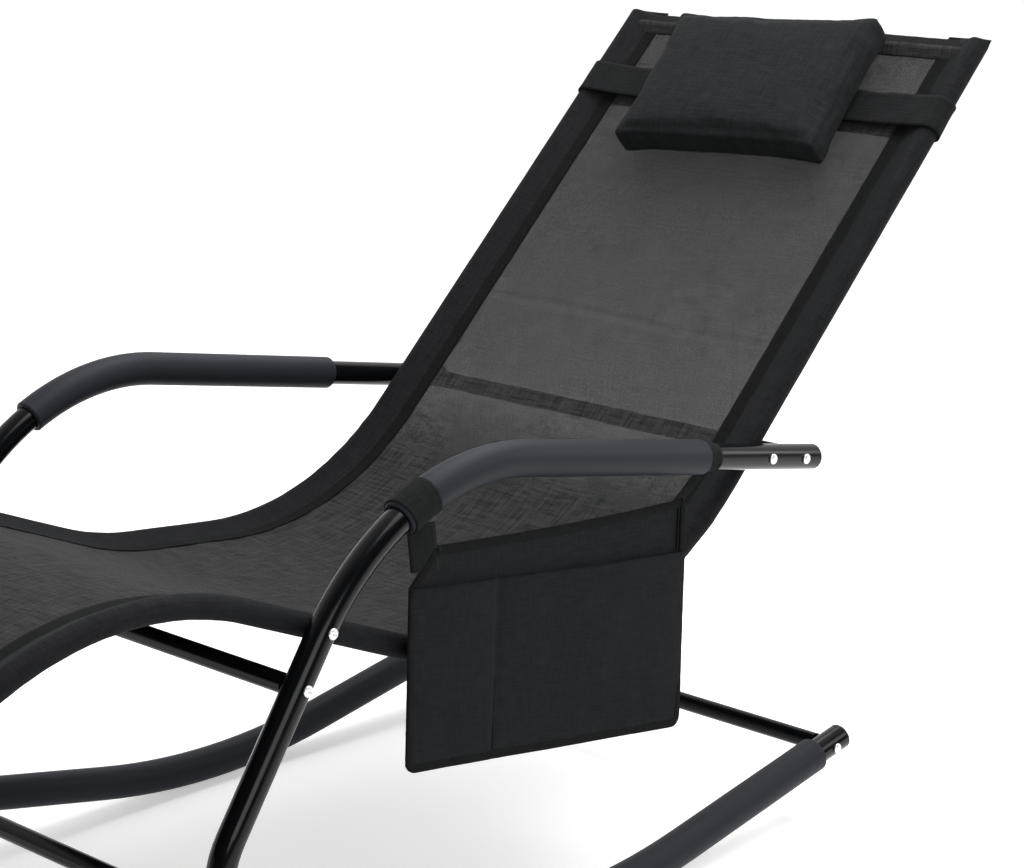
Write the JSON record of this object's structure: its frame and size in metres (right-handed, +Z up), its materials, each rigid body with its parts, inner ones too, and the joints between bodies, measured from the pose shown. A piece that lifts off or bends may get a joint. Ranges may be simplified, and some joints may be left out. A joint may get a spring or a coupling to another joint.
{
  "type": "rocking chaise lounge",
  "caption": "Rocking sun lounger: bent steel tube sides with foam grips and rockers, a reclined mesh sling, a head pillow on a strap and a hanging side pocket.",
  "frame": {"origin": "on the floor under the middle of the chair's overall length and width", "axes": "+X toward the head end, +Y across the chair away from the side with the pocket, +Z up from the floor"},
  "size_m": [1.6062, 0.5757, 0.8478],
  "materials": {
    "powder_coated_steel": "gloss",
    "grip_foam": "matte",
    "tunnel_cloth": "matte",
    "sling_mesh": "matte",
    "zinc_bolts": "satin",
    "end_plugs": "satin",
    "pillow_cloth": "matte",
    "pillow_webbing": "matte",
    "pocket_cloth": "matte",
    "pocket_webbing": "matte"
  },
  "bodies": {
    "chair": {"side_loop_near": "powder_coated_steel", "side_loop_far": "powder_coated_steel", "sling_rail_near": "powder_coated_steel", "sling_rail_far": "powder_coated_steel", "head_spreader": "powder_coated_steel", "foot_spreader": "powder_coated_steel", "back_crossbar": "powder_coated_steel", "seat_crossbar": "powder_coated_steel", "front_crossbar": "powder_coated_steel", "rear_crossbar": "powder_coated_steel", "arm_foam_near": "grip_foam", "arm_foam_far": "grip_foam", "rocker_foam_near": "grip_foam", "rocker_foam_far": "grip_foam", "sling_tunnel_near": "tunnel_cloth", "sling_tunnel_far": "tunnel_cloth", "head_hem": "tunnel_cloth", "foot_hem": "tunnel_cloth", "sling_mesh": "sling_mesh", "crossbar_bolts": "zinc_bolts", "rail_bolts": "zinc_bolts", "loop_plugs": "end_plugs", "rail_plugs": "end_plugs", "side_pocket": "pocket_cloth", "pocket_bands": "pocket_webbing"},
    "pillow": {"head_pillow": "pillow_cloth", "pillow_strap": "pillow_webbing"}
  },
  "joints": [
    {"name": "pillow_slide", "type": "slide", "parent": "chair", "child": "pillow", "axis": [0.7266, 0, 0.6871], "range_m": [-0.25, 0]}
  ]
}
